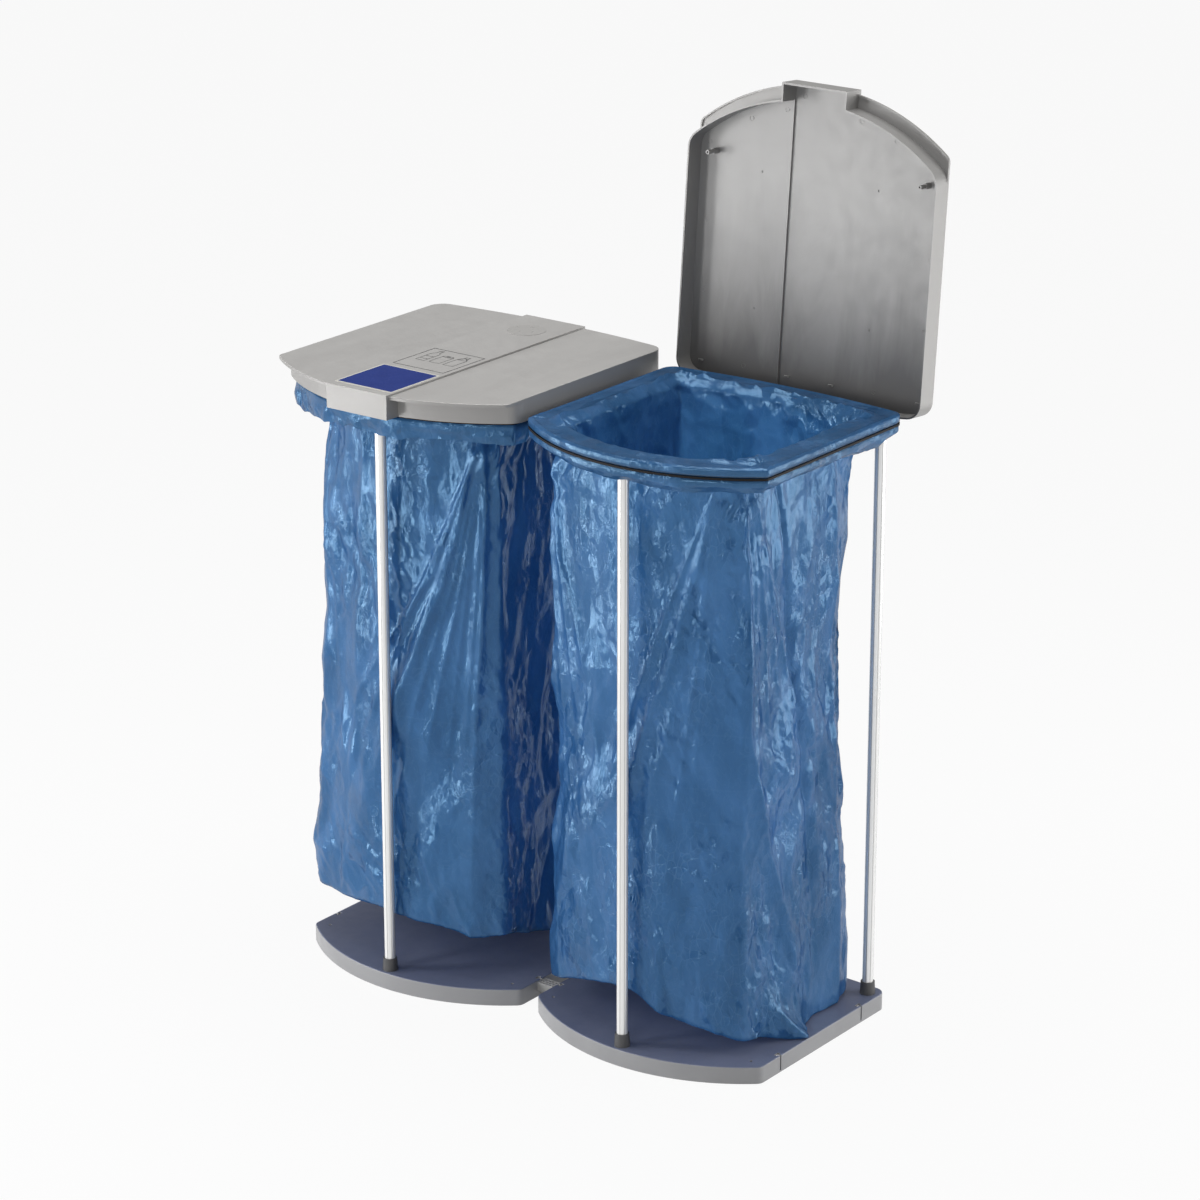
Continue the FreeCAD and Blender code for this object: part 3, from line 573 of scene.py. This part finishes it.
    def past_poles(self, points):
        """Where the film would reach a pole, it leans on the pole's inner side."""
        for place in poles:
            inward = -np.array(place) / math.hypot(*place)
            apart = points - np.array(place)
            behind = (apart @ inward)[:, :, None]
            apart = np.where(behind < 0, apart - 2 * behind * inward, apart)
            away = np.linalg.norm(apart, axis=2)[:, :, None]
            points = np.where(away < pole_room, place + apart / np.maximum(away, 0.01) * pole_room, points)
        return points

    def ridge(self, z, zs, places, widths, heights, sharp=1.35):
        """A crest that runs down the film through the given places round it; a hollow where it's negative."""
        order = np.argsort(zs)
        zs, places, widths, heights = (np.array(row, float)[order] for row in (zs, places, widths, heights))
        places = np.unwrap(places, period=self.length)
        away = np.abs((self.s - np.interp(z, zs, places) + self.length / 2) % self.length - self.length / 2)
        return np.interp(z, zs, heights) * np.exp(-(away / np.interp(z, zs, widths)) ** sharp)

    def fan(self, z, start, top, feet, low, size, seed):
        """Tension folds that spread from one point of the mouth."""
        total = 0.0
        for k, foot in enumerate(feet):
            foot = start + (foot - start + self.length / 2) % self.length - self.length / 2
            much = size * (0.55 + 0.9 * hash01(k, 3, self.seed + seed))
            bend = 0.34 + 0.2 * hash01(k, 5, self.seed + seed)
            middle, beyond = start + (foot - start) * bend, start + (foot - start) * 1.5
            total = total + self.ridge(z, (ring_foot, top, (top + low) / 2, low, low - 230),
                                       (start, start + (foot - start) * 0.04, middle, foot, beyond),
                                       (2, 2.6, 5.5, 8.5, 18), (0, 3.0 * much, 5.0 * much, 4.2 * much, 0), 1.1)
        return total

    def folds(self, z, depth):
        """How far the film stands out from its plain shape.

        Each table is one crest or hollow: levels, places round the outline, widths and heights.
        """
        at = self.at
        if self.side == "left":
            feet = [at(x, -205) for x in (-70, -30, 8, 44, 78, 108, 136)]
            push = self.fan(z, at(150, -168), 890, feet, 470, 0.9, 71)
            feet = [at(-135, -178), at(-165, -120), at(-170, -60)]
            push = push + self.fan(z, at(-160, -150), 900, feet, 600, 1.0, 72)
            tables = (
                ((926, 880, 765, 667, 572, 433, 300, 120),
                 [at(x, -205) for x in (150, 145, 123, 93, 53, 0, -60, -110)],
                 (3, 5, 9, 12, 15, 19, 24, 40), (0, 4, 8, 10, 10, 9, 7, 2)),
                ((926, 880, 767, 617, 450, 230, 60), [at(x, -180) for x in (156, 156, 158, 150, 140, 134, 128)],
                 (3, 4, 6, 8, 11, 15, 25), (0, 4, 7, 9, 8, 6, 2)),
                ((926, 850, 600, 300, 60), [at(x, -200) for x in (-60, -60, -75, -90, -100)],
                 (5, 10, 18, 28, 40), (0, 3, 5, 5, 2)),
                ((926, 850, 600, 300, 60), [at(x, -170) for x in (-150, -148, -152, -158, -160)],
                 (4, 8, 13, 18, 30), (0, 5, 8, 9, 8)))
        else:
            push = self.fan(z, at(134, -178), 912, [at(x, -205) for x in (-20, 15, 52, 88, 112)], 500, 0.8, 73)
            push = push + self.fan(z, at(168, -140), 905, [at(170, y) for y in (-128, -96, -62, -30)], 560, 0.9, 74)
            push = push + self.fan(z, at(-165, -150), 905, [at(x, -195) for x in (-160, -130, -95)], 600, 0.7, 75)
            tables = (
                ((926, 880, 740, 540, 400, 216, 60),
                 [at(*place) for place in ((166, -155), (166, -155), (170, -151), (170, -150), (170, -119),
                                           (170, -48), (170, -20))],
                 (3, 5, 9, 12, 13, 15, 20), (0, 4, 7, 9, 9, 8, 4)),
                ((926, 880, 789, 623, 511, 380, 200), [at(x, -205) for x in (136, 134, 112, 62, 15, -20, -50)],
                 (3, 5, 9, 13, 17, 22, 30), (0, 4, 7, 8, 7, 5, 2)),
                ((926, 898, 765, 494, 322, 100), [at(170, y) for y in (-78, -76, -57, -13, 17, 30)],
                 (3, 4, 7, 10, 12, 18), (0, -6, -10, -11, -9, -3)),
                ((926, 880, 700, 400, 100), [at(170, y) for y in (60, 62, 74, 92, 96)],
                 (4, 6, 9, 12, 18), (0, 4, 6, 7, 6)),
                ((926, 880, 700, 500, 250, 60), [at(168, 138)] * 6,
                 (20, 40, 60, 60, 55, 50), (0, -6, -20, -22, -10, 0)),
                ((926, 905, 870, 600, 300, 60), [at(-166, -158)] * 6, (30, 50, 60, 60, 60, 60), (0, 9, 14, 10, 4, 0)),
                ((926, 120, 84, 52, 32), [at(170, y) for y in (-96, -96, -84, -62, -44)],
                 (12, 16, 20, 24, 26), (0, 0, 9, 24, 35)))
        for table in tables:
            push = push + self.ridge(z, *table)
        # Crumple, coarse to fine; the film is tight under the ring and looser further down.
        early = np.clip(depth * 10, 0, 1)
        loose = np.clip(depth * 4, 0, 1)
        strands = (self.s + 0.16 * (ring_foot - z)) / self.length
        near_mouth = np.clip(1.25 - depth * 4, 0.15, 1)
        push = push + 3.6 * early * near_mouth * pleats(self.share * 30 + 0 * z, z / 420, self.seed + 5, 30)
        push = push + 6.0 * loose * value_noise(strands * 7, z / 260, self.seed + 6, 7)
        patch = np.clip(0.55 + 1.2 * value_noise(strands * 10, z / 130, self.seed + 8, 10), 0.1, 1.35)
        other = np.clip(0.45 + 1.3 * value_noise(strands * 13, z / 100, self.seed + 12, 13), 0.0, 1.3)
        counter = (self.s - 0.30 * (ring_foot - z)) / self.length
        push = push + 7.0 * loose * facets(strands * 15, z / 150, self.seed + 7, 15)
        early = early * (0.85 + 0.45 * depth)
        push = push + 4.2 * early * (0.5 + 0.5 * patch) * facets(strands * 36, z / 95, self.seed + 9, 36)
        push = push + 3.0 * early * (0.4 + 0.6 * other) * facets(counter * 44, z / 70, self.seed + 14, 44)
        push = push + 1.9 * early * patch * facets(strands * 84, z / 44, self.seed + 10, 84)
        push = push + 1.2 * early * other * facets(counter * 150, z / 13, self.seed + 11, 150)
        if self.side == "right":
            # Patches of fine crumple.
            for place, level, wide, high in ((at(-85, -198), 378, 48, 46), (at(110, -190), 322, 45, 30),
                                             (at(60, -205), 505, 52, 62), (at(100, -195), 705, 42, 70),
                                             (at(-40, -207), 640, 40, 50), (at(20, -209), 230, 60, 40)):
                away = ((self.s - place) / wide) ** 2 + ((z - level) / high) ** 2
                push = push + 2.0 * np.exp(-away) * facets(counter * 104, z / 17, self.seed + 15, 104)
        return push - 3.0 * np.minimum(early, 1) - self.gathers(z) * np.clip(1 - depth * 5, 0, 1)

    def bottom(self):
        """The wall turns under and closes in a seam across the sack, clear of the base."""
        edge = self.rows[-1]
        seam = np.column_stack([edge[:, 0] * 0.86, np.full(around, -18.0) + 0.05 * edge[:, 1]])
        seam_z = {"left": 66.0, "right": 48.0 - 0.11 * edge[:, 0]}[self.side]
        for t in np.linspace(0.07, 1, 16):
            inward = 1 - math.cos(t * math.pi / 2)
            points = edge[:, :2] * (1 - inward) + seam * inward
            crush = facets(self.share * 40, np.full(around, 4 * t), self.seed + 80, 40)
            droop = 7.0 * math.sin(min(1.0, 3.2 * t) * math.pi) + 1.5 * math.sin(t * math.pi) * crush
            z = edge[:, 2] * (1 - inward ** 1.6) + seam_z * inward ** 1.6 - droop
            self.rows.append(np.column_stack([points, np.maximum(z, base_top + 2.5)]))

    def build(self):
        self.mouth()
        self.body()
        self.bottom()
        grid = np.concatenate(self.rows)
        grid[:, 0] += unit_middle[self.side]
        grid[:, 1] += centre_shift
        here = np.arange(around)
        ahead = (here + 1) % around
        below = around
        first = np.arange(len(self.rows) - 1)[:, None] * around
        faces = np.stack([first + here, first + ahead, first + below + ahead, first + below + here], 2).reshape(-1, 4)
        mesh = bpy.data.meshes.new(self.side + "_film_sack")
        mesh.from_pydata((grid * MM).tolist(), [], faces.tolist())
        mesh.polygons.foreach_set("use_smooth", [True] * len(mesh.polygons))
        piece = bpy.data.objects.new(self.side + "_film_sack", mesh)
        scene.collection.objects.link(piece)
        piece.data.materials.append(materials["sack_film"])
        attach(piece, "stand")
        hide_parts(self.side + "_sack_body", self.side + "_sack_cuff")


for side in ("left", "right"):
    Film(side).build()


# ---------------------------------------------------------------- line drawing in the picture fields
panel_middle, band_top, hinge_y, hinge_z, open_angle = -72.0, 976.5, 189.0, 928.4, 94.7
line_width, line_lift = 1.1, 0.12


def arc_points(x, y, wide, high, start, end, count):
    turn = np.radians(np.linspace(start, end, count))
    return [(x + wide * math.cos(a), y + high * math.sin(a)) for a in turn]


def drawing():
    """A bottle, a can and a carton in plain outline: lines in millimetres, each with whether it closes."""
    bottle = ([(-35, -30)] + arc_points(-29, 2, 6, 12, 180, 100, 7) + [(-30, 26), (-24, 26)]
              + arc_points(-25, 2, 6, 12, 80, 0, 7) + [(-19, -30)])
    can = arc_points(0, 6, 10, 3.4, 180, 0, 12) + arc_points(0, -27, 10, 3.4, 0, -180, 12)
    carton = [(18, -30), (18, 4), (23, 15), (31, 15), (36, 4), (36, -30)]
    return [(bottle, True), ([(-35, -6), (-19, -6)], False), ([(-35, -20), (-19, -20)], False),
            ([(-30, 22), (-24, 22)], False), (can, True), (arc_points(0, 6, 10, 3.4, 180, 360, 12), False),
            (arc_points(0, 6, 3.2, 1.2, 0, 330, 10), True), (carton, True), ([(18, 4), (36, 4)], False),
            ([(23, 15), (23, 20), (31, 20), (31, 15)], False), ([(18, 4), (27, 15), (36, 4)], False)]


def ribbons(lines, width):
    """Flat ribbons along the lines: points and faces."""
    points, faces = [], []
    for line, closed in lines:
        line = np.array(line, float)
        ahead, back = np.roll(line, -1, 0) - line, line - np.roll(line, 1, 0)
        if not closed:
            ahead[-1], back[0] = back[-1], ahead[0]
        ahead /= np.linalg.norm(ahead, axis=1)[:, None]
        back /= np.linalg.norm(back, axis=1)[:, None]
        mean = ahead + back
        mean /= np.linalg.norm(mean, axis=1)[:, None]
        reach = width / 2 / np.maximum(0.5, (mean * ahead).sum(1))
        across = np.stack([-mean[:, 1], mean[:, 0]], 1) * reach[:, None]
        start, count = len(points), len(line)
        for middle, aside in zip(line, across):
            points += [middle - aside, middle + aside]
        for i in range(count if closed else count - 1):
            j = (i + 1) % count
            faces.append([start + k for k in (2 * i, 2 * j, 2 * j + 1, 2 * i + 1)])
    return np.array(points), faces


for side, swing in (("left", 0.0), ("right", math.radians(-open_angle))):
    flat, faces = ribbons(drawing(), line_width)
    y, z = flat[:, 1] + panel_middle - hinge_y, np.full(len(flat), band_top + line_lift - hinge_z)
    turned_y = y * math.cos(swing) - z * math.sin(swing) + hinge_y + centre_shift
    turned_z = y * math.sin(swing) + z * math.cos(swing) + hinge_z
    places = np.column_stack([flat[:, 0] + unit_middle[side], turned_y, turned_z]) * MM
    mesh = bpy.data.meshes.new(side + "_line_drawing")
    mesh.from_pydata(places.tolist(), [], faces)
    piece = bpy.data.objects.new(side + "_line_drawing", mesh)
    scene.collection.objects.link(piece)
    piece.data.materials.append(materials["print_grey"])
    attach(piece, side + "_lid")


# ---------------------------------------------------------------- camera, floor and light
camera_data = bpy.data.cameras.new("camera")
camera = bpy.data.objects.new("camera", camera_data)
scene.collection.objects.link(camera)
camera.location = (3.471, -4.5653, 2.6257)
camera.rotation_euler = (math.radians(70.715), 0, math.radians(37.142))
camera_data.sensor_width = 36
camera_data.lens = 120.24
camera_data.clip_end = 100
scene.camera = camera
scene.view_settings.view_transform = "Standard"


def floor_material():
    """White for the camera with the object's shadow kept, plain pale for the light that it sends back."""
    t = Tree("floor_white")
    t.finish(t.mix(t.noise(t.coords, 3, 2), (0.50, 0.50, 0.50), (0.52, 0.52, 0.52)), 0.9)
    white = t.nodes.new("ShaderNodeEmission")
    path = t.nodes.new("ShaderNodeLightPath")
    blend = t.nodes.new("ShaderNodeMixShader")
    out = t.nodes["Material Output"]
    seen = t.math("MAXIMUM", path.outputs["Is Camera Ray"], path.outputs["Is Glossy Ray"])
    seen = t.math("MAXIMUM", seen, path.outputs["Is Transmission Ray"])
    share = t.math("MULTIPLY", seen, 0.93)
    t.links.new(share, blend.inputs["Fac"])
    t.links.new(t.bsdf.outputs[0], blend.inputs[1])
    t.links.new(white.outputs[0], blend.inputs[2])
    t.links.new(blend.outputs[0], out.inputs["Surface"])
    return t.mat


floor_mesh = bpy.data.meshes.new("floor")
floor_mesh.from_pydata([(-12, -12, 0), (12, -12, 0), (12, 12, 0), (-12, 12, 0)], [], [(0, 1, 2, 3)])
floor = bpy.data.objects.new("floor", floor_mesh)
scene.collection.objects.link(floor)
floor.data.materials.append(floor_material())


def lamp(name, place, aim, size, power):
    """A soft box that shines towards a point."""
    data = bpy.data.lights.new(name, "AREA")
    data.shape = "RECTANGLE"
    data.size, data.size_y = size
    data.energy = power
    item = bpy.data.objects.new(name, data)
    scene.collection.objects.link(item)
    item.location = place
    item.rotation_euler = (Vector(aim) - Vector(place)).to_track_quat("-Z", "Y").to_euler()


lamp("left_box", (-2.4, -1.7, 1.15), (0, 0, 0.6), (1.3, 2.3), 24)
lamp("front_strip_1", (-1.55, -1.35, 0.80), (0, 0, 0.6), (0.32, 1.6), 12)
lamp("front_strip_2", (-0.86, -1.84, 0.80), (0, 0, 0.6), (0.32, 1.6), 12)
lamp("right_box", (2.7, 1.2, 1.05), (0.1, 0, 0.6), (1.5, 2.1), 38)
lamp("right_strip_1", (1.60, 1.40, 0.80), (0.1, 0, 0.6), (0.32, 1.6), 8)
lamp("right_strip_2", (0.75, 1.95, 0.80), (0.1, 0, 0.6), (0.28, 1.6), 3)
lamp("fill_box", (1.2, -4.2, 1.6), (0, 0, 0.6), (1.4, 1.4), 30)
lamp("top_box", (-0.1, 0.3, 3.3), (0, 0, 0.5), (2.0, 2.0), 52)


def studio():
    """White for the camera; for the object a grey room with dark flags, which draw lines down the bright tubes."""
    world = bpy.data.worlds.new("studio")
    scene.world = world
    world.use_nodes = True
    nodes, links = world.node_tree.nodes, world.node_tree.links
    split = nodes.new("ShaderNodeSeparateXYZ")
    links.new(nodes.new("ShaderNodeTexCoord").outputs["Generated"], split.inputs[0])
    turn = nodes.new("ShaderNodeMath")
    turn.operation = "ARCTAN2"
    links.new(split.outputs["Y"], turn.inputs[0])
    links.new(split.outputs["X"], turn.inputs[1])
    place = nodes.new("ShaderNodeMapRange")
    place.inputs["From Min"].default_value = -math.pi
    place.inputs["From Max"].default_value = math.pi
    links.new(turn.outputs[0], place.inputs["Value"])
    flags = nodes.new("ShaderNodeValToRGB")
    stops = [(-180, 0.20), (-172, 0.38), (-112, 0.38), (-106, 0.12), (-96, 0.12), (-90, 0.38), (-18, 0.38),
             (-12, 0.12), (-2, 0.12), (4, 0.38), (62, 0.38), (72, 0.20), (180, 0.20)]
    while len(flags.color_ramp.elements) < len(stops):
        flags.color_ramp.elements.new(0.5)
    for element, (degrees, grey) in zip(flags.color_ramp.elements, stops):
        element.position = (degrees + 180) / 360
        element.color = (grey, grey, grey, 1)
    links.new(place.outputs[0], flags.inputs["Fac"])
    pick = nodes.new("ShaderNodeMix")
    pick.data_type = "RGBA"
    links.new(nodes.new("ShaderNodeLightPath").outputs["Is Camera Ray"], pick.inputs["Factor"])
    links.new(flags.outputs["Color"], pick.inputs["A"])
    pick.inputs["B"].default_value = (1, 1, 1, 1)
    links.new(pick.outputs["Result"], nodes["Background"].inputs["Color"])


studio()
